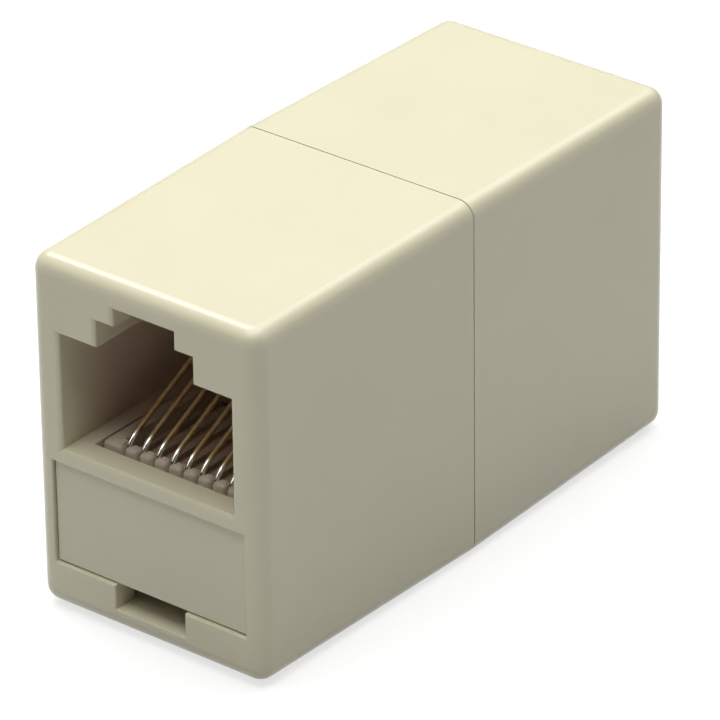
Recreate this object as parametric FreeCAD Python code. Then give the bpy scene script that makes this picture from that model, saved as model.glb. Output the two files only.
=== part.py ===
"""In-line coupler that joins two eight-way modular plugs end to end.

Millimetres, +Z up. The length runs along Y, with the front port facing -Y and the rear port facing +Y.
The origin is the middle of the underside, on the seam between the two half shells.

Each half is drawn once in its own frame: its mouth face is the plane y = 0, +Y runs inwards to the seam,
and the contact wires lie on the floor of the port with the latch channel above. The rear half is the same
moulding turned half a turn about Z.
"""

import FreeCAD, Part

import math
import os

OUT = "parts"

# Contact wires
pins = 8
pitch = 1.016             # side by side spacing of the contacts
wire_diameter = 0.46
bend_radius = 0.65        # centre line of the bend at the front of each contact
rise_angle = 27.0         # slope of the sprung part of the wire above the deck, degrees
wire_drop = 1.35          # deck top down to the centre line of the lower run
slot_clearance = 0.03     # each side of a wire in its slot
bend_setback = 0.05       # front of the bend behind the front of the comb

# Port: main opening for the plug, and two steps above it for its latch
port_width = 11.9
port_height = 7.1         # port floor up to the shoulders
wide_step_width = 6.7
wide_step_height = 1.65
narrow_step_width = 4.2
narrow_step_height = 1.1
port_depth = 11.0         # mouth face to the rear comb

# Half shell
mouth_wall = 1.6
side_wall = 1.4           # beside the bay, at the seam
roof = 1.9                # above the latch channel, at the seam
floor_wall = 1.5
notch_width = 4.9
notch_height = 1.5
bay_width = 13.4          # also the width of the window that shows the front of the contact carrier
window_height = 6.4
sill_height = 0.85        # bar between the window and the port
chamber_depth = 6.0       # room for the leads behind the carrier
draft = 0.24              # how far each outer wall leans in from the seam to the mouth
edge_radius = 1.0
port_lip = 0.3            # rounding of the port's front edge
window_lip = 0.1          # rounding of the window's and the notch's front edge
core_wall = 1.2           # plastic left round the pockets over the port's shoulders

# Lap joint round the seam: a tongue on one side of each half, a rebate on the other
seam_gap = 0.08
lap_depth = 1.2
lap_thickness = 0.6
lap_clearance = 0.06
lap_break = 0.3           # plain rim each side of the middle, where tongue and rebate change over

# Contact carrier
carrier_fit = 0.1         # clearance all round the carrier in the shell
seat_fit = 0.05           # carrier's feet behind the mouth wall
panel_setback = 0.4       # front of the carrier's panel behind the mouth face
comb_setback = 0.65       # front of the comb behind the mouth wall
comb_width = 9.7
comb_length = 1.2
comb_round = 0.25         # rounding of the comb's front edge
comb_drop = 0.05          # top of the comb below the port floor
trough_side = 0.8         # deck left each side of the trough under the wires
deck_thickness = 2.1
cheek_thickness = 1.2
rear_comb_thickness = 1.3
rear_slot_depth = 0.9
rear_slot_lift = 0.6      # foot of the rear slots above the deck
wire_reach = 0.6          # how far the wire's free end runs into its rear slot

# Latch that holds the carrier: a sprung tongue with a hook in front of a rib on the shell's floor
latch_width = 3.6
latch_thickness = 0.7
latch_root = 1.0
latch_hook_length = 1.0
latch_hook_height = 0.85
latch_hook_y = 4.9        # mouth face to the front of the hook
latch_gap = 0.1
rib_length = 0.9
rib_height = 0.7

# Crimps and leads
crimp_diameter = 0.92
crimp_length = 1.9
crimp_waist = 0.06        # depth of the groove pressed into the middle of the crimp
crimp_start = 0.15        # behind the rear comb
crimp_bore_clearance = 0.02
lead_diameter = 0.8
conductor_diameter = 0.42
lead_gap = 0.1            # insulation stops this far short of the crimp
lead_stub = 0.6           # straight insulation before the leads start to twist
lead_steps = 6            # straight runs of a lead through its half turn
corner_share = 0.45       # part of the shorter run that each rounded corner of a lead takes

# Heights, stacked up from the underside
port_floor_z = floor_wall + notch_height + window_height + sill_height
window_bottom_z = floor_wall + notch_height
window_top_z = window_bottom_z + window_height
shoulder_z = port_floor_z + port_height
wide_step_z = shoulder_z + wide_step_height
channel_top_z = wide_step_z + narrow_step_height
case_height = channel_top_z + roof

# Widths and lengths
case_width = bay_width + 2 * side_wall
rear_comb_end = port_depth + rear_comb_thickness
half_length = rear_comb_end + chamber_depth
rim_y = half_length - seam_gap / 2

# Carrier levels
deck_top_z = port_floor_z - comb_drop
deck_shelf_z = window_top_z - carrier_fit
deck_bottom_z = deck_shelf_z - deck_thickness
comb_front = mouth_wall + comb_setback
comb_back = comb_front + comb_length
slot_width = wire_diameter + 2 * slot_clearance

# Wire centre line
wire_radius = wire_diameter / 2
wire_low_z = deck_top_z - wire_drop
bend_y = comb_front + bend_setback + wire_radius + bend_radius
bend_z = wire_low_z + bend_radius
groove_bottom_z = wire_low_z - wire_radius - slot_clearance
trough_z = wire_low_z + wire_radius + slot_clearance

# Crimp and lead stations along the half
crimp_front = rear_comb_end + crimp_start
crimp_back = crimp_front + crimp_length
crimp_middle = (crimp_front + crimp_back) / 2
lead_start = crimp_back + lead_gap

over = 1.0                # how far a cutting block runs past the face that it opens


def vec(x, y, z):
    return FreeCAD.Vector(x, y, z)


def block(x0, x1, y0, y1, z0, z1):
    """Box between two corners."""
    return Part.makeBox(x1 - x0, y1 - y0, z1 - z0, vec(x0, y0, z0))


def centred(width, y0, y1, z0, z1):
    """Box of the given width, centred on x = 0."""
    return block(-width / 2, width / 2, y0, y1, z0, z1)


def corners_at(half_width, y, z0, z1):
    """Corners of an upright rectangle in the plane at y, in order round it."""
    return [vec(-half_width, y, z0), vec(half_width, y, z0), vec(half_width, y, z1), vec(-half_width, y, z1)]


def pin_x(number):
    """Pin 1 is on the right of a port that is looked into with its latch channel on top."""
    return ((pins + 1) / 2 - number) * pitch


def fillet(shape, radius, wanted):
    """Round the edges that the test picks."""
    edges = [edge for edge in shape.Edges if wanted(edge)]
    return shape.makeFillet(radius, edges)


def in_front(shape):
    """Place a half's shape at the front of the coupler."""
    placed = shape.copy()
    placed.translate(vec(0, -half_length, 0))
    return placed


def at_rear(shape):
    """Place a half's shape at the rear: the front one turned half a turn about Z."""
    placed = in_front(shape)
    placed.rotate(vec(0, 0, 0), vec(0, 0, 1), 180)
    return placed


def save(shape, name):
    shape.exportStep(os.path.join(OUT, name + ".step"))


# ---- half shell ----

def tapered_block():
    """Block whose four long sides lean in by the draft from the seam to the mouth."""
    mouth = corners_at(case_width / 2 - draft, 0, draft, case_height - draft)
    seam = corners_at(case_width / 2, half_length, 0, case_height)
    outlines = [mouth, seam]
    for here in range(4):
        after = (here + 1) % 4
        outlines.append([mouth[here], mouth[after], seam[after], seam[here]])
    faces = [Part.Face(Part.makePolygon(outline + outline[:1])) for outline in outlines]
    return Part.makeSolid(Part.makeShell(faces))


def outer_block():
    """Outside of one half, with its long edges and mouth edges rounded."""
    rounded = fillet(tapered_block(), edge_radius, lambda edge: min(v.Y for v in edge.Vertexes) < half_length / 2)
    return rounded.cut(centred(2 * case_width, rim_y, half_length + over, -over, case_height + over))


def stepped_opening(y0, y1):
    """The plug's outline: a wide opening with two narrower steps above it for the latch."""
    main = centred(port_width, y0, y1, port_floor_z, shoulder_z)
    wide = centred(wide_step_width, y0, y1, shoulder_z, wide_step_z)
    narrow = centred(narrow_step_width, y0, y1, wide_step_z, channel_top_z)
    return main.fuse([wide, narrow]).removeSplitter()


def shell_hollow():
    """Everything that is open inside one half, from the mouth to the seam."""
    seam_end = half_length + over
    mouth = stepped_opening(-over, mouth_wall)
    tunnel = centred(port_width, mouth_wall, rear_comb_end, port_floor_z, shoulder_z)
    channel = centred(wide_step_width, mouth_wall, port_depth, shoulder_z, channel_top_z)
    comb_slot = centred(comb_width + 2 * carrier_fit, mouth_wall, rear_comb_end, window_top_z, port_floor_z)
    window = centred(bay_width, -over, mouth_wall, window_bottom_z, window_top_z)
    notch = centred(notch_width, -over, mouth_wall, floor_wall, window_bottom_z)
    bay = centred(bay_width, mouth_wall, rear_comb_end, floor_wall, window_top_z)
    chamber = centred(bay_width, rear_comb_end, seam_end, floor_wall, channel_top_z)
    return mouth.fuse([tunnel, channel, comb_slot, window, notch, bay, chamber]).removeSplitter()


def core_pockets():
    """Pockets over the port's shoulders, open to the chamber, that keep the plastic an even thickness."""
    inner = wide_step_width / 2 + core_wall
    start = mouth_wall + core_wall
    right = block(inner, bay_width / 2, start, rear_comb_end + over, shoulder_z + core_wall, channel_top_z)
    left = right.mirror(vec(0, 0, 0), vec(1, 0, 0))
    return [right, left]


def lap_ring(thickness, y0, y1, edge_x):
    """Strip round the inside of the wall on the +X side, from edge_x over the top and under the floor."""
    half = bay_width / 2
    outer = block(edge_x, half + thickness, y0, y1, floor_wall - thickness, channel_top_z + thickness)
    inner = block(edge_x - over, half, y0 - over, y1 + over, floor_wall, channel_top_z)
    return outer.cut(inner)


def latch_rib():
    """Rib across the floor that the carrier's latch hook drops in front of."""
    front = latch_hook_y + latch_hook_length + latch_gap
    return centred(latch_width, front, front + rib_length, floor_wall - floor_wall / 2, floor_wall + rib_height)


def on_mouth(edge):
    """True for an edge that lies in the mouth face."""
    return all(abs(vertex.Y) < 1e-6 for vertex in edge.Vertexes)


def round_mouth(shape):
    """Round the front edges of the port, and more finely those of the window and the notch."""
    inside = bay_width / 2 + 1e-6
    middle_sill = (window_top_z + port_floor_z) / 2

    def port_edge(edge):
        centre = edge.CenterOfMass
        inside_port = abs(centre.x) <= port_width / 2 + 1e-6 and middle_sill < centre.z <= channel_top_z + 1e-6
        return on_mouth(edge) and inside_port

    def window_edge(edge):
        centre = edge.CenterOfMass
        return on_mouth(edge) and abs(centre.x) <= inside and floor_wall - 1e-6 <= centre.z < middle_sill

    return fillet(fillet(shape, port_lip, port_edge), window_lip, window_edge)


def half_shell():
    """One half of the case; both halves are this moulding."""
    shell = round_mouth(outer_block().cut(shell_hollow()))
    shell = shell.cut(core_pockets())
    shell = shell.fuse(latch_rib())
    rebate_edge = lap_break - lap_clearance
    rebate = lap_ring(lap_thickness + lap_clearance, rim_y - lap_depth - lap_clearance, half_length + over, rebate_edge)
    rebate = rebate.mirror(vec(0, 0, 0), vec(1, 0, 0))
    tongue = lap_ring(lap_thickness, rim_y - lap_depth, half_length + lap_depth - seam_gap, lap_break)
    return shell.cut(rebate).fuse(tongue).removeSplitter()


# ---- contact carrier ----

def comb_bar():
    """Deck block that stands in the port's floor, with its front edge rounded."""
    bar = centred(comb_width, comb_front, rear_comb_end, deck_shelf_z - over, deck_top_z)

    def front_top(edge):
        centre = edge.CenterOfMass
        return abs(centre.y - comb_front) < 1e-6 and abs(centre.z - deck_top_z) < 1e-6

    return fillet(bar, comb_round, front_top)


def carrier_body():
    """Panel, deck, cheeks, comb bar and rear comb in one piece, before the slots are cut."""
    width = bay_width - 2 * carrier_fit
    panel_back = comb_front
    foot_front = mouth_wall + seat_fit
    floor_z = floor_wall + carrier_fit
    panel = centred(width, panel_setback, panel_back, window_bottom_z + carrier_fit, deck_shelf_z)
    deck = centred(width, panel_back, rear_comb_end, deck_bottom_z, deck_shelf_z)
    cheek = block(width / 2 - cheek_thickness, width / 2, foot_front, rear_comb_end, floor_z, deck_shelf_z)
    other_cheek = cheek.mirror(vec(0, 0, 0), vec(1, 0, 0))
    upright_low = centred(comb_width, port_depth, rear_comb_end, deck_bottom_z, port_floor_z + carrier_fit)
    upright = centred(port_width - 2 * carrier_fit, port_depth, rear_comb_end, port_floor_z + carrier_fit,
                      shoulder_z - carrier_fit)
    return panel.fuse([deck, cheek, other_cheek, comb_bar(), upright_low, upright]).removeSplitter()


def carrier_latch():
    """Sprung tongue under the deck, rooted near the back, with its hook near the front."""
    root_back = port_depth
    arm_bottom = floor_wall + carrier_fit + latch_hook_height
    root = centred(latch_width, root_back - latch_root, root_back, arm_bottom, deck_bottom_z + over / 2)
    arm = centred(latch_width, latch_hook_y, root_back, arm_bottom, arm_bottom + latch_thickness)
    hook = centred(latch_width, latch_hook_y, latch_hook_y + latch_hook_length, floor_wall + carrier_fit, arm_bottom)
    return root.fuse([arm, hook])


def wire_slots():
    """Front slot, floor groove and rear guide slot of every contact."""
    cuts = []
    for number in range(1, pins + 1):
        left = pin_x(number) - slot_width / 2
        right = pin_x(number) + slot_width / 2
        cuts.append(block(left, right, comb_front, comb_back, groove_bottom_z, deck_top_z + over))
        cuts.append(block(left, right, comb_back - over / 2, rear_comb_end + over, groove_bottom_z, trough_z))
        cuts.append(block(left, right, port_depth - over / 2, port_depth + rear_slot_depth,
                          deck_top_z + rear_slot_lift, shoulder_z + over))
    return cuts


def contact_carrier():
    """One carrier; both ports have the same one."""
    trough = centred(comb_width - 2 * trough_side, comb_back, port_depth, trough_z, deck_top_z + over)
    body = carrier_body().fuse(carrier_latch())
    return body.cut([trough] + wire_slots()).removeSplitter()


# ---- contacts, crimps and leads ----

def tube(path, radius):
    """Round bar swept along a wire of tangent lines and arcs."""
    start = path.Edges[0]
    here = start.valueAt(start.FirstParameter)
    along = start.tangentAt(start.FirstParameter)
    section = Part.Wire([Part.makeCircle(radius, here, along)])
    return path.makePipeShell([section], True, False)


def contact_path(number):
    """Lower run forward, bend at the front of the comb, then the sprung run back up to the rear comb."""
    x = pin_x(number)
    rise = math.radians(rise_angle)
    tangent_y = bend_y - bend_radius * math.sin(rise)
    tangent_z = bend_z + bend_radius * math.cos(rise)
    end_y = port_depth + wire_reach
    end_z = tangent_z + (end_y - tangent_y) * math.tan(rise)
    tail = vec(x, crimp_middle, wire_low_z)
    bend_start = vec(x, bend_y, wire_low_z)
    half_turn = (math.pi - rise) / 2
    bend_middle = vec(x, bend_y - bend_radius * math.sin(half_turn), bend_z - bend_radius * math.cos(half_turn))
    bend_end = vec(x, tangent_y, tangent_z)
    lower = Part.LineSegment(tail, bend_start).toShape()
    bend = Part.Arc(bend_start, bend_middle, bend_end).toShape()
    sprung = Part.LineSegment(bend_end, vec(x, end_y, end_z)).toShape()
    return Part.Wire([lower, bend, sprung])


def contact(number):
    return tube(contact_path(number), wire_radius)


def crimp(number):
    """Tube pressed on to the contact's tail and the lead's conductor, with a groove round its middle."""
    bore = wire_radius + crimp_bore_clearance
    outer = crimp_diameter / 2
    quarter = crimp_length / 4
    profile = [
        (bore, 0), (outer, 0), (outer, quarter), (outer - crimp_waist, 1.5 * quarter),
        (outer - crimp_waist, 2.5 * quarter), (outer, 3 * quarter), (outer, crimp_length), (bore, crimp_length),
    ]
    points = [vec(radius, along, 0) for radius, along in profile]
    ring = Part.Face(Part.makePolygon(points + points[:1])).revolve(vec(0, 0, 0), vec(0, 1, 0), 360)
    ring.translate(vec(pin_x(number), crimp_front, wire_low_z))
    return ring


def lead_points(number):
    """Ribbon of leads that lies flat at both ports and makes half a turn between them."""
    offset = pin_x(number)
    reach = half_length - lead_start
    twist_reach = reach - lead_stub
    points = [vec(offset, -reach, wire_low_z)]
    for step in range(lead_steps + 1):
        share = step / lead_steps
        turn = math.pi * share * share * (3 - 2 * share)
        y = twist_reach * (2 * share - 1)
        points.append(vec(offset * math.cos(turn), y, wire_low_z + offset * math.sin(turn)))
    points.append(vec(-offset, reach, wire_low_z))
    return points


def rounded_path(points):
    """Straight runs joined by tangent arcs."""
    edges = []
    here = points[0]
    for before, corner, after in zip(points, points[1:], points[2:]):
        arriving = (corner - before).normalize()
        leaving = (after - corner).normalize()
        turn = arriving.getAngle(leaving)
        shorter = min((corner - before).Length, (after - corner).Length)
        setback = corner_share * shorter
        radius = setback / math.tan(turn / 2)
        arc_start = corner - arriving * setback
        arc_end = corner + leaving * setback
        inward = (leaving - arriving).normalize()
        arc_middle = corner + inward * (radius / math.cos(turn / 2) - radius)
        edges.append(Part.LineSegment(here, arc_start).toShape())
        edges.append(Part.Arc(arc_start, arc_middle, arc_end).toShape())
        here = arc_end
    edges.append(Part.LineSegment(here, points[-1]).toShape())
    return Part.Wire(edges)


def lead(number):
    """Insulated lead with a bare conductor end in the crimp of the same pin at each port."""
    points = lead_points(number)
    cover = tube(rounded_path(points), lead_diameter / 2)
    bare = half_length - crimp_middle
    inside = lead_stub / 2
    ends = []
    for side, point in ((-1, points[0]), (1, points[-1])):
        start = vec(point.x, point.y - side * inside, point.z)
        length = bare - abs(point.y) + inside - crimp_bore_clearance
        ends.append(Part.makeCylinder(conductor_diameter / 2, length, start, vec(0, side, 0)))
    return cover.fuse(ends).removeSplitter()


def main():
    os.makedirs(OUT, exist_ok=True)
    shell = half_shell()
    carrier = contact_carrier()
    for end, place in (("front", in_front), ("rear", at_rear)):
        save(place(shell), end + "_shell")
        save(place(carrier), end + "_carrier")
        for number in range(1, pins + 1):
            save(place(contact(number)), "%s_contact_%d" % (end, number))
            save(place(crimp(number)), "%s_crimp_%d" % (end, number))
    for number in range(1, pins + 1):
        save(lead(number), "lead_%d" % number)


main()
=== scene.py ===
"""Looks of the in-line coupler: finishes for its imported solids, a plain floor, soft light and a camera.

The contact wires are drawn thinner and bowed, and the carriers with rounded comb teeth and a nearer panel.

Metres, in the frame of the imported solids: +Z up, the front port facing -Y, the seam at y = 0.
"""

import math

import bmesh
import bpy
from mathutils import Matrix, Vector


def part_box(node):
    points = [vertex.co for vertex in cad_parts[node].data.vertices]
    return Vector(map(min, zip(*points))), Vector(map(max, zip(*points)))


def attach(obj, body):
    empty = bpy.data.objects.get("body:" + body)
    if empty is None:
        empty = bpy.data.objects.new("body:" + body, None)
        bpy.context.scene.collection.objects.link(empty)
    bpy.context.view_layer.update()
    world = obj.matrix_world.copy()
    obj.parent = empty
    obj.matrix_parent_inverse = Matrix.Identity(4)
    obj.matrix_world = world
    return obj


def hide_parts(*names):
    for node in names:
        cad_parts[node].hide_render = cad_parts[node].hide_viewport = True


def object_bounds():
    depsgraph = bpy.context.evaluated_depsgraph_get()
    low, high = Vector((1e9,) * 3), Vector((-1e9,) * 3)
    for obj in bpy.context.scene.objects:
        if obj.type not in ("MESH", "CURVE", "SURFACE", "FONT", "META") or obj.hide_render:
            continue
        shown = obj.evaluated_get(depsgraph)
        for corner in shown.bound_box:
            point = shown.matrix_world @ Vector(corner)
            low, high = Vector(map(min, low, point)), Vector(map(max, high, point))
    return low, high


MM = 0.001

# Camera: where it stands round the object, and the point that it looks at
CAMERA_AZIMUTH = 38.587        # degrees round from the front
CAMERA_ELEVATION = 28.939
CAMERA_ROLL = -0.71
CAMERA_DISTANCE = 356.5 * MM
CAMERA_LENS = 322.3            # in millimetres, as is the sensor's width
CAMERA_SENSOR = 36.0
CLIP_START = 0.02
CLIP_END = 10.0
AIM_RIGHT = 0.101 * MM         # aim beside and below the middle of the case
AIM_UP = -1.115 * MM

# Lamps: degrees round from the front, degrees away from straight above, distance, size and power in watts
LAMPS = {
    "overhead": (0.0, 0.0, 0.36, 0.40, 1.45),
    "back": (180.0, 43.0, 0.45, 0.22, 0.32),
    "left": (-103.0, 36.0, 0.45, 0.16, 0.54),
    "front": (-10.0, 36.0, 0.45, 0.18, 0.185),
}
WORLD_STRENGTH = 0.03

# Floor: its side, its grey for ordinary rays, and the shaded and glowing shares that the camera sees
FLOOR_SIZE = 4.0
FLOOR_GREY = (0.50, 0.50, 0.50)
FLOOR_SHADOWED = (0.40, 0.40, 0.40)
FLOOR_GLOW = 0.70
WHITE = (1.0, 1.0, 1.0)

# Sockets of Blender's Mix node when it mixes colours
FIRST_COLOUR = 6
SECOND_COLOUR = 7
MIXED_COLOUR = 2

# Contact wires: distances in from the mouth of a port, and heights above the underside
PINS = 8
PITCH = 1.016 * MM
WIRE_RADIUS = 0.17 * MM
WIRE_BEND = 0.45 * MM                 # radius of the two bends behind the comb's noses, at the centre line
WIRE_BOW = 2.4 * MM                   # radius of the bow from the upper bend to the straight sprung run
BEND_IN = 3.22 * MM                   # distance in of both bends' centres
CREST_Z = 9.844 * MM                  # height of the upper bend's centre
BOW_ANGLE = 50.0                      # slopes at the two ends of the bow, degrees
RISE_ANGLE = 27.0
WIRE_END_IN = 11.6 * MM               # free end, in the rear comb
ARC_STEP = 7.5                        # degrees between the rings of a bent wire
WIRE_SIDES = 14

# Comb of the contact carrier
PANEL_IN = 0.40 * MM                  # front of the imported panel, and where it is drawn
PANEL_DRAWN_IN = 0.25 * MM
TOOTH_FRONT_IN = 2.24 * MM
TOOTH_BACK_IN = 3.45 * MM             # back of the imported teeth, and where it is drawn
TOOTH_DRAWN_BACK_IN = 3.10 * MM
NOSE_LENGTH = 0.34 * MM               # wide front of each tooth
NOSE_GAP = 0.14 * MM                  # between two noses, and between two stems
STEM_GAP = 0.37 * MM
STEM_SETBACK = 0.10 * MM              # stem's front behind the nose's
TOOTH_FOOT_Z = 9.30 * MM
TOOTH_TOP_Z = 10.22 * MM
TOOTH_ROUND = 0.28 * MM
TOOTH_CORE = 0.3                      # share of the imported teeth's height that is left inside the drawn ones
COMB_HALF = 4.85 * MM                 # half the comb's width
ROUND_STEPS = 5
WELD = 0.0005 * MM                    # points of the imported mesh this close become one
NEAR = 0.01 * MM                      # a point this close to a face's plane belongs to it
SHARP_ANGLE = 28.0                    # edges steeper than this stay sharp, degrees

# Surfaces: roughness, and depth of the fine texture
CASE_ROUGHNESS = 0.24
CASE_TEXTURE = 0.0004 * MM
CARRIER_ROUGHNESS = 0.38
CARRIER_TEXTURE = 0.0006 * MM
PLASTIC_IOR = 1.50
INSULATION_IOR = 1.48
GOLD_ROUGHNESS = 0.20
TIN_ROUGHNESS = 0.34
WIRE_GRAIN_STRETCH = 0.08             # of the drawn lines along Y

# Colours, linear
IVORY = (0.775, 0.737, 0.545)
IVORY_DEEP = (0.755, 0.716, 0.522)
CARRIER = (0.765, 0.727, 0.552)
CARRIER_DEEP = (0.740, 0.702, 0.528)
WALL = 1.2 * MM                       # thinnest part of the case's walls
PAINTED_SHADE_START = 0.6 * MM               # depth in the port where the painted shade sets in, and where it is full
PAINTED_SHADE_DEPTH = 4.5 * MM
PORT_PAINTED_SHADE = (0.86, 0.74, 0.82)      # painted shade: plastic deep inside the ports made darker and redder, against the outside
GOLD = (0.94, 0.80, 0.55)
GOLD_DEEP = (0.76, 0.59, 0.34)
BOW_PAINTED_HIGHLIGHT = (0.97, 0.94, 0.86)           # paler colour on the front bow of each contact, where the glints fall: painted highlight
PAINTED_HIGHLIGHT_END_IN = 3.25 * MM            # where the painted highlight ends, and where the gold is full
GOLD_FROM_IN = 3.65 * MM
TIN = (0.62, 0.61, 0.58)
TIN_DEEP = (0.42, 0.41, 0.39)
LEADS = {
    "blue": (0.03, 0.09, 0.36),
    "orange": (0.78, 0.20, 0.02),
    "black": (0.012, 0.012, 0.014),
    "red": (0.46, 0.015, 0.012),
    "green": (0.02, 0.20, 0.05),
    "yellow": (0.82, 0.60, 0.05),
    "brown": (0.13, 0.05, 0.02),
    "grey": (0.34, 0.34, 0.34),
}


# ---- materials ----

class Graph:
    """Short hand for making and joining shader nodes."""

    def __init__(self, name):
        self.material = bpy.data.materials.new(name)
        self.material.use_nodes = True
        self.tree = self.material.node_tree
        self.tree.nodes.clear()

    def add(self, kind, **inputs):
        node = self.tree.nodes.new(kind)
        for key, value in inputs.items():
            self.put(node, key.replace("_", " "), value)
        return node

    def put(self, node, key, value):
        """Set a socket to a value, or join it to another node's output."""
        if isinstance(value, bpy.types.NodeSocket):
            self.tree.links.new(value, node.inputs[key])
        else:
            node.inputs[key].default_value = value

    def place(self):
        return self.add("ShaderNodeTexCoord").outputs["Object"]

    def noise(self, grain, detail, stretch=(1.0, 1.0, 1.0)):
        """Noise whose lumps are about the given size in metres."""
        spread = self.add("ShaderNodeMapping", Vector=self.place(), Scale=stretch)
        texture = self.add("ShaderNodeTexNoise", Vector=spread.outputs["Vector"], Scale=1.0 / grain,
                           Detail=detail)
        return texture.outputs["Fac"]

    def ranged(self, value, low, high, start=0.3, end=0.7):
        """Spread a noise value over the range from low to high."""
        node = self.add("ShaderNodeMapRange", Value=value)
        node.inputs["From Min"].default_value = start
        node.inputs["From Max"].default_value = end
        node.inputs["To Min"].default_value = low
        node.inputs["To Max"].default_value = high
        return node.outputs["Result"]

    def mixed(self, factor, first, second, blend="MIX"):
        """Two colours, each plain or a node's output, blended so that the factor 1 has the second in full."""
        node = self.tree.nodes.new("ShaderNodeMix")
        node.data_type = "RGBA"
        node.blend_type = blend
        self.put(node, "Factor", factor)
        for socket, colour in ((FIRST_COLOUR, first), (SECOND_COLOUR, second)):
            self.put(node, socket, (*colour, 1.0) if isinstance(colour, tuple) else colour)
        return node.outputs[MIXED_COLOUR]

    def bump(self, height, depth, below=None):
        """Surface direction for a height pattern of a depth in metres, laid over another one if given."""
        node = self.add("ShaderNodeBump", Height=height, Distance=depth, Strength=1.0)
        if below is not None:
            self.put(node, "Normal", below)
        return node.outputs["Normal"]

    def math(self, operation, first, second=0.0):
        """Two numbers or node outputs, joined by one operation."""
        node = self.tree.nodes.new("ShaderNodeMath")
        node.operation = operation
        self.put(node, 0, first)
        self.put(node, 1, second)
        return node.outputs[0]

    def inside(self):
        """Mask for the painted shade: 0 on the outside of the case, rising to 1 a few millimetres down its
        ports.
        """
        low, high = CAD_BOX
        middle = (low + high) / 2
        axes = self.add("ShaderNodeSeparateXYZ", Vector=self.place())
        side = self.math("ABSOLUTE", axes.outputs["X"])
        along = self.math("ABSOLUTE", axes.outputs["Y"])
        rise = self.math("ABSOLUTE", self.math("SUBTRACT", axes.outputs["Z"], middle.z))
        deep = self.ranged(along, 1.0, 0.0, high.y - PAINTED_SHADE_DEPTH, high.y - PAINTED_SHADE_START)
        within_sides = self.ranged(side, 1.0, 0.0, high.x - WALL, high.x - WALL / 2)
        within_roof = self.ranged(rise, 1.0, 0.0, middle.z - WALL, middle.z - WALL / 2)
        return self.math("MULTIPLY", deep, self.math("MULTIPLY", within_sides, within_roof))

    def finish(self, shader):
        output = self.add("ShaderNodeOutputMaterial")
        self.tree.links.new(shader, output.inputs["Surface"])
        return self.material


def moulded_plastic(name, colour, deep, roughness, texture_depth):
    """Opaque moulded plastic: faint clouds of colour, a fine satin texture, slight sink waves, and painted
    shade deep in the ports.
    """
    graph = Graph(name)
    shade = graph.ranged(graph.noise(6.0 * MM, 2.0), 0.0, 1.0)
    shine = graph.ranged(graph.noise(4.0 * MM, 2.0), roughness - 0.02, roughness + 0.03)
    waves = graph.bump(graph.noise(5.0 * MM, 1.0), 0.010 * MM)
    grain = graph.bump(graph.noise(0.10 * MM, 0.0), texture_depth, waves)
    shader = graph.add("ShaderNodeBsdfPrincipled", Roughness=shine, Normal=grain, IOR=PLASTIC_IOR)
    outside = graph.mixed(shade, colour, deep)
    # painted shade: the base colour made darker and redder deep in the ports
    graph.put(shader, "Base Color", graph.mixed(graph.inside(), outside, PORT_PAINTED_SHADE, "MULTIPLY"))
    return graph.finish(shader.outputs[0])


def plated_wire(name, colour, deep, roughness, painted_highlight=None):
    """Drawn and plated metal, with fine lines along Y, and a paler painted highlight on the bow if its colour
    is given.
    """
    graph = Graph(name)
    along = (1.0, WIRE_GRAIN_STRETCH, 1.0)
    shade = graph.ranged(graph.noise(0.25 * MM, 4.0, along), 0.0, 1.0)
    shine = graph.ranged(graph.noise(0.10 * MM, 3.0, along), roughness - 0.06, roughness + 0.08)
    lines = graph.bump(graph.noise(0.05 * MM, 2.0, along), 0.002 * MM)
    shader = graph.add("ShaderNodeBsdfPrincipled", Metallic=1.0, Roughness=shine, Normal=lines)
    plating = graph.mixed(shade, colour, deep)
    if painted_highlight is not None:
        # painted highlight: the bow paler where the glints fall, fading to gold further in
        mouth = CAD_BOX[1].y
        axes = graph.add("ShaderNodeSeparateXYZ", Vector=graph.place())
        from_seam = graph.math("ABSOLUTE", axes.outputs["Y"])
        bow = graph.ranged(from_seam, 0.0, 1.0, mouth - GOLD_FROM_IN, mouth - PAINTED_HIGHLIGHT_END_IN)
        plating = graph.mixed(bow, plating, painted_highlight)
    graph.put(shader, "Base Color", plating)
    return graph.finish(shader.outputs[0])


def insulation(name, colour):
    """Soft extruded insulation with a dull surface."""
    graph = Graph(name)
    deep = tuple(0.8 * part for part in colour)
    shade = graph.ranged(graph.noise(1.2 * MM, 3.0), 0.0, 1.0)
    shine = graph.ranged(graph.noise(0.3 * MM, 2.0), 0.42, 0.55)
    skin = graph.bump(graph.noise(0.12 * MM, 2.0), 0.003 * MM)
    shader = graph.add("ShaderNodeBsdfPrincipled", Roughness=shine, Normal=skin, IOR=INSULATION_IOR)
    graph.put(shader, "Base Color", graph.mixed(shade, colour, deep))
    return graph.finish(shader.outputs[0])


def white_floor(name):
    """Pale floor that camera, mirror and see-through rays see as white with the object's shadow."""
    graph = Graph(name)
    rays = graph.add("ShaderNodeLightPath")
    mirror = graph.math("MAXIMUM", rays.outputs["Is Camera Ray"], rays.outputs["Is Glossy Ray"])
    seen = graph.math("MAXIMUM", mirror, rays.outputs["Is Transmission Ray"])
    plain = graph.add("ShaderNodeBsdfDiffuse", Color=(*FLOOR_GREY, 1.0))
    shadowed = graph.add("ShaderNodeBsdfDiffuse", Color=(*FLOOR_SHADOWED, 1.0))
    glow = graph.add("ShaderNodeEmission", Color=(*WHITE, 1.0), Strength=FLOOR_GLOW)
    white = graph.add("ShaderNodeAddShader")
    graph.put(white, 0, shadowed.outputs[0])
    graph.put(white, 1, glow.outputs[0])
    choice = graph.add("ShaderNodeMixShader", Fac=seen)
    graph.put(choice, 1, plain.outputs[0])
    graph.put(choice, 2, white.outputs[0])
    return graph.finish(choice.outputs[0])


def dress(node, material):
    """Give a carried-over node its material."""
    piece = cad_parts[node]
    for slot in piece.material_slots:
        slot.material = material


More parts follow.
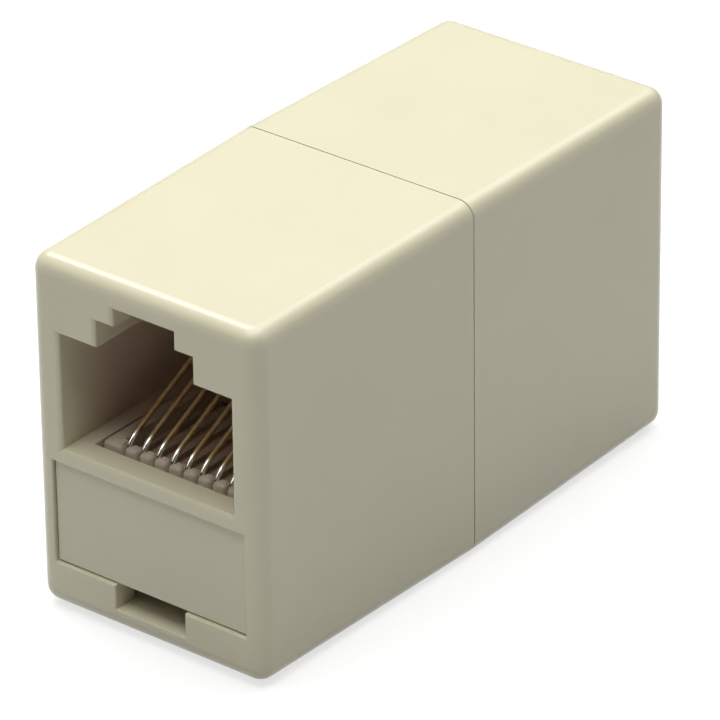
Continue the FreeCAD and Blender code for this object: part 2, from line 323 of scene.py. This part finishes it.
def dress_all():
    """Dress the shells, crimps and leads, and draw the carriers and the contacts."""
    case = moulded_plastic("case_ivory", IVORY, IVORY_DEEP, CASE_ROUGHNESS, CASE_TEXTURE)
    carrier = moulded_plastic("carrier_ivory", CARRIER, CARRIER_DEEP, CARRIER_ROUGHNESS, CARRIER_TEXTURE)
    gold = plated_wire("gold_plate", GOLD, GOLD_DEEP, GOLD_ROUGHNESS, BOW_PAINTED_HIGHLIGHT)
    tin = plated_wire("tin_plate", TIN, TIN_DEEP, TIN_ROUGHNESS)
    for end in ("front", "rear"):
        dress(end + "_shell", case)
        contact_carrier(end, carrier)
        for number in range(1, PINS + 1):
            contact_wire(end, number, gold)
            dress("%s_crimp_%d" % (end, number), tin)
    for number, (colour, value) in enumerate(LEADS.items(), start=1):
        dress("lead_%d" % number, insulation("lead_" + colour, value))


# ---- comb and contact wires ----

def in_port(end, point):
    """Place for a point of a port, given as x, distance in from the mouth and height; it works both ways."""
    low, high = CAD_BOX
    x, y, z = point
    return Vector((x, low.y + y, z)) if end == "front" else Vector((-x, high.y - y, z))


def from_port(end, place):
    """The reverse of in_port."""
    low, high = CAD_BOX
    return (place.x, place.y - low.y, place.z) if end == "front" else (-place.x, high.y - place.y, place.z)


def add_piece(name, mesh, material, slot, *nodes):
    """Make a piece that rides on the case and stands for the given nodes."""
    shape = bpy.data.meshes.new(name)
    mesh.to_mesh(shape)
    mesh.free()
    if shape.attributes.get("custom_normal"):
        shape.attributes.remove(shape.attributes["custom_normal"])
    shape.polygons.foreach_set("use_smooth", [True] * len(shape.polygons))
    shape.set_sharp_from_angle(angle=math.radians(SHARP_ANGLE))
    shape.materials.clear()
    shape.materials.append(material)
    piece = bpy.data.objects.new(name, shape)
    bpy.context.scene.collection.objects.link(piece)
    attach(piece, "root")
    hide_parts(*nodes)


def arc(centre, radius, first, last):
    """Points of a bend in a wire, each as distance in, height and slope, from one slope to the other."""
    steps = max(2, round(abs(first - last) / ARC_STEP))
    points = []
    for step in range(steps + 1):
        slope = first + (last - first) * step / steps
        turn = math.radians(slope)
        points.append((centre[0] - radius * math.sin(turn), centre[1] + radius * math.cos(turn), slope))
    return points


def wire_course(tail_in, tail_z):
    """A contact's centre line: forward along the bottom, up behind the noses, and over a bow to the rear."""
    lower = arc((BEND_IN, tail_z + WIRE_BEND), WIRE_BEND, 180.0, 90.0)
    upper = arc((BEND_IN, CREST_Z), WIRE_BEND, 90.0, BOW_ANGLE)
    crest_in, crest_z, slope = upper[-1]
    lean = math.radians(slope)
    bow_centre = (crest_in + WIRE_BOW * math.sin(lean), crest_z - WIRE_BOW * math.cos(lean))
    bow = arc(bow_centre, WIRE_BOW, BOW_ANGLE, RISE_ANGLE)
    rise = math.tan(math.radians(RISE_ANGLE))
    end_z = bow[-1][1] + (WIRE_END_IN - bow[-1][0]) * rise
    return [(tail_in, tail_z, 180.0)] + lower + upper + bow[1:] + [(WIRE_END_IN, end_z, RISE_ANGLE)]


def contact_wire(end, number, material):
    """Round wire swept along a contact's course."""
    node = "%s_contact_%d" % (end, number)
    low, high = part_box(node)
    x = from_port(end, (low + high) / 2)[0]
    packed_radius = (high.x - low.x) / 2
    tail_in = max(from_port(end, low)[1], from_port(end, high)[1])
    mesh = bmesh.new()
    rings = []
    for y, z, slope in wire_course(tail_in, low.z + packed_radius):
        turn = math.radians(slope)
        ring = []
        for side in range(WIRE_SIDES):
            round_it = 2 * math.pi * side / WIRE_SIDES
            out = WIRE_RADIUS * math.cos(round_it)
            point = (x + WIRE_RADIUS * math.sin(round_it), y - out * math.sin(turn), z + out * math.cos(turn))
            ring.append(mesh.verts.new(in_port(end, point)))
        rings.append(ring)
    for here, after in zip(rings, rings[1:]):
        for side in range(WIRE_SIDES):
            following = (side + 1) % WIRE_SIDES
            mesh.faces.new((here[side], here[following], after[following], after[side]))
    mesh.faces.new(rings[0])
    mesh.faces.new(list(reversed(rings[-1])))
    bmesh.ops.recalc_face_normals(mesh, faces=mesh.faces)
    add_piece(node + "_wire", mesh, material, "contact_gold", node)


def add_rounded_block(mesh, low, high, back_round):
    """Block between two corners, rounded at its upright front edges and at the top, the back if asked."""
    corners = []
    for z in (low[2], high[2]):
        for x, y in ((low[0], low[1]), (high[0], low[1]), (high[0], high[1]), (low[0], high[1])):
            corners.append(mesh.verts.new((x, y, z)))
    sides = [(0, 1, 5, 4), (1, 2, 6, 5), (2, 3, 7, 6), (3, 0, 4, 7), (0, 3, 2, 1), (4, 5, 6, 7)]
    faces = [mesh.faces.new([corners[corner] for corner in side]) for side in sides]
    top = set(faces[5].edges)
    if not back_round:
        top -= set(faces[2].edges)
    upright = {edge for edge in faces[0].edges if edge.verts[0].co.z != edge.verts[1].co.z}
    bmesh.ops.bevel(mesh, geom=list(top | upright), offset=TOOTH_ROUND, segments=ROUND_STEPS, profile=0.5,
                    affect="EDGES")


def comb_teeth(end):
    """Rounded teeth between the wires, each with a wide nose and a narrower stem, and one at each side."""
    mesh = bmesh.new()
    wires = [((PINS - 1) / 2 - place) * PITCH for place in range(PINS)]
    marks = [COMB_HALF] + wires + [-COMB_HALF]
    for right, left in zip(marks, marks[1:]):
        nose = (TOOTH_FRONT_IN, TOOTH_FRONT_IN + NOSE_LENGTH, NOSE_GAP, False)
        stem = (TOOTH_FRONT_IN + STEM_SETBACK, TOOTH_DRAWN_BACK_IN, STEM_GAP, True)
        for front, back, gap, back_round in (nose, stem):
            low_x = left + (gap / 2 if left > -COMB_HALF else 0.0)
            high_x = right - (gap / 2 if right < COMB_HALF else 0.0)
            add_rounded_block(mesh, (low_x, front, TOOTH_FOOT_Z), (high_x, back, TOOTH_TOP_Z), back_round)
    for vertex in mesh.verts:
        vertex.co = in_port(end, vertex.co)
    bmesh.ops.recalc_face_normals(mesh, faces=mesh.faces)
    return mesh


def contact_carrier(end, material):
    """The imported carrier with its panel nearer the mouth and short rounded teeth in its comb."""
    node = end + "_carrier"
    mesh = bmesh.new()
    mesh.from_mesh(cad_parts[node].data)
    bmesh.ops.remove_doubles(mesh, verts=mesh.verts, dist=WELD)
    inner = ((PINS - 1) / 2) * PITCH
    for vertex in mesh.verts:
        x, y, z = from_port(end, vertex.co)
        if abs(y - PANEL_IN) < NEAR:
            y = PANEL_DRAWN_IN
        in_teeth = TOOTH_FRONT_IN - NEAR < y < TOOTH_BACK_IN + NEAR and z > TOOTH_FOOT_Z
        if in_teeth and abs(x) < inner:
            z = TOOTH_FOOT_Z + (z - TOOTH_FOOT_Z) * TOOTH_CORE
        if abs(y - TOOTH_BACK_IN) < NEAR:
            y = TOOTH_DRAWN_BACK_IN
        vertex.co = in_port(end, (x, y, z))
    teeth = comb_teeth(end)
    extra = bpy.data.meshes.new("teeth")
    teeth.to_mesh(extra)
    teeth.free()
    mesh.from_mesh(extra)
    bpy.data.meshes.remove(extra)
    add_piece(node + "_detailed", mesh, material, "carrier_plastic", node)


# ---- stage ----

def make_floor():
    """Flat square for the object to stand on, level with its underside."""
    reach = FLOOR_SIZE / 2
    corners = [(-reach, -reach, 0), (reach, -reach, 0), (reach, reach, 0), (-reach, reach, 0)]
    mesh = bpy.data.meshes.new("floor")
    mesh.from_pydata(corners, [], [(0, 1, 2, 3)])
    floor = bpy.data.objects.new("floor", mesh)
    bpy.context.scene.collection.objects.link(floor)
    mesh.materials.append(white_floor("floor_white"))


def direction(azimuth, elevation):
    """Unit vector from the object, at an angle round from the front and above the floor."""
    turn, up = math.radians(azimuth), math.radians(elevation)
    return Vector((math.sin(turn) * math.cos(up), -math.cos(turn) * math.cos(up), math.sin(up)))


def make_lamp(name, azimuth, tilt, distance, size, power):
    """Square soft lamp that faces the object."""
    lamp = bpy.data.lights.new(name, "AREA")
    lamp.shape = "SQUARE"
    lamp.size = size
    lamp.energy = power
    softbox = bpy.data.objects.new(name, lamp)
    bpy.context.scene.collection.objects.link(softbox)
    towards = direction(azimuth, 90.0 - tilt)
    softbox.location = towards * distance
    softbox.rotation_mode = "QUATERNION"
    softbox.rotation_quaternion = (-towards).to_track_quat("-Z", "Y")


def make_world():
    """Faint even light from all round."""
    world = bpy.data.worlds.new("studio")
    world.use_nodes = True
    background = world.node_tree.nodes["Background"]
    background.inputs["Color"].default_value = (*WHITE, 1.0)
    background.inputs["Strength"].default_value = WORLD_STRENGTH
    bpy.context.scene.world = world


def make_camera():
    """Long lens, aimed a little off the middle of the case."""
    low, high = CAD_BOX
    back = direction(CAMERA_AZIMUTH, CAMERA_ELEVATION)
    right = Vector((math.cos(math.radians(CAMERA_AZIMUTH)), math.sin(math.radians(CAMERA_AZIMUTH)), 0.0))
    up = back.cross(right)
    aim = (low + high) / 2 + right * AIM_RIGHT + up * AIM_UP
    turned = Matrix.Rotation(math.radians(CAMERA_ROLL), 3, back)
    lens = bpy.data.cameras.new("camera")
    lens.lens = CAMERA_LENS
    lens.sensor_width = CAMERA_SENSOR
    lens.clip_start = CLIP_START
    lens.clip_end = CLIP_END
    camera = bpy.data.objects.new("camera", lens)
    bpy.context.scene.collection.objects.link(camera)
    camera.rotation_mode = "QUATERNION"
    axes = Matrix((turned @ right, turned @ up, back)).transposed()
    camera.rotation_quaternion = axes.to_quaternion()
    camera.location = aim + back * CAMERA_DISTANCE
    bpy.context.scene.camera = camera


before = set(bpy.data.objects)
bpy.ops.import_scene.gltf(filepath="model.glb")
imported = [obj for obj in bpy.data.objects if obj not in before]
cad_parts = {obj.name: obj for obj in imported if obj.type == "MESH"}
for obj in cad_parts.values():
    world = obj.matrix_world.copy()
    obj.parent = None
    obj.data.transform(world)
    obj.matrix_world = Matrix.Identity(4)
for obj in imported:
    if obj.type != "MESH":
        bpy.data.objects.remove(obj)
CAD_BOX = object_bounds()
bpy.context.scene.view_settings.view_transform = "Standard"
dress_all()
make_floor()
for lamp_name, values in LAMPS.items():
    make_lamp(lamp_name, *values)
make_world()
make_camera()
